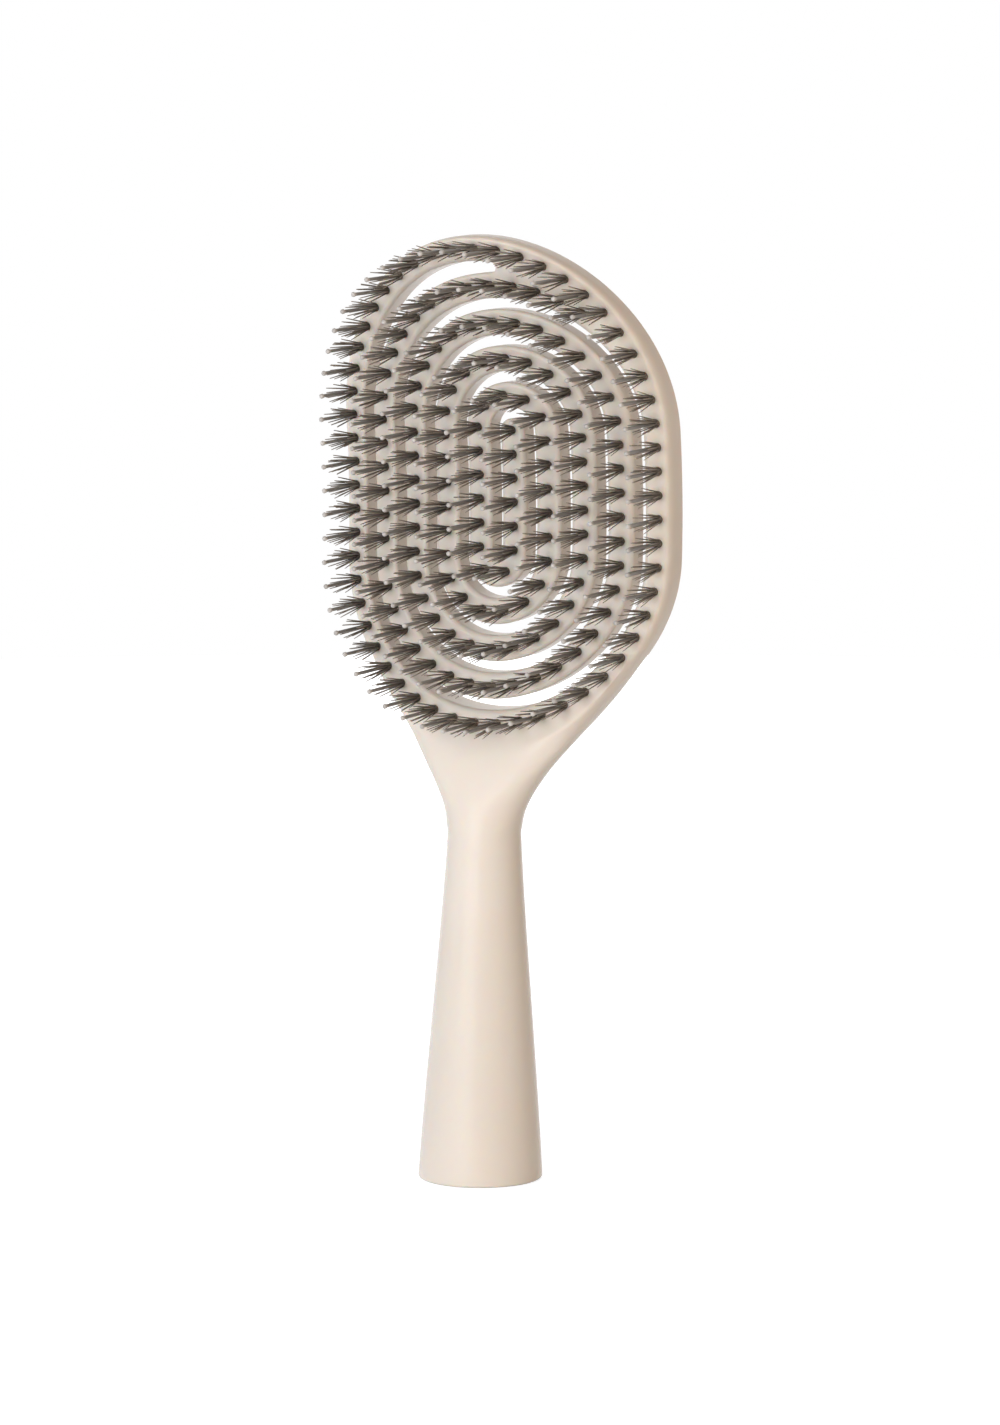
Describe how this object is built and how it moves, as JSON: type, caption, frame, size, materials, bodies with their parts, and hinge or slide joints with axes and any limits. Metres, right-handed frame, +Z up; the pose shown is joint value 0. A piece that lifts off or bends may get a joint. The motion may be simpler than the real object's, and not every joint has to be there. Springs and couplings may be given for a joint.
{
  "type": "vent brush",
  "caption": "Hair brush with a flared round handle and an oval vented head: a springy spiral band inside a rim, with rows of pin and bristle tufts.",
  "frame": {"origin": "centre of the flat end of the handle, on which the brush stands", "axes": "+Z up along the handle to the head, -Y the way the tufts point, +X to the right as the tufts face the viewer"},
  "size_m": [0.0892, 0.0456, 0.2342],
  "materials": {
    "ivory_plastic": "smooth glossy ivory moulding",
    "cap_plastic": "satin ivory",
    "bristle_fibre": "grey pins with pale ball tips and brown-grey bristles"
  },
  "bodies": {
    "frame": {"brush_frame": "ivory_plastic", "handle_end_cap": "cap_plastic", "rim_bristles": "bristle_fibre"},
    "outer_turn": {"coil_outer_turn": "ivory_plastic", "outer_bristles": "bristle_fibre"},
    "middle_turn": {"coil_middle_turn": "ivory_plastic", "middle_bristles": "bristle_fibre"},
    "inner_turn": {"coil_inner_turn": "ivory_plastic", "inner_bristles": "bristle_fibre"}
  },
  "joints": [
    {"name": "outer_turn_flex", "type": "slide", "parent": "frame", "child": "outer_turn", "axis": [0, 1, 0], "range_m": [0, 0.003], "stiffness_N_per_m": 400},
    {"name": "middle_turn_flex", "type": "slide", "parent": "outer_turn", "child": "middle_turn", "axis": [0, 1, 0], "range_m": [0, 0.003], "stiffness_N_per_m": 300},
    {"name": "inner_turn_flex", "type": "slide", "parent": "middle_turn", "child": "inner_turn", "axis": [0, 1, 0], "range_m": [0, 0.003], "stiffness_N_per_m": 200}
  ],
  "couplings": [
    {"joint": "middle_turn_flex", "follows": "outer_turn_flex", "ratio": 1},
    {"joint": "inner_turn_flex", "follows": "outer_turn_flex", "ratio": 1}
  ]
}
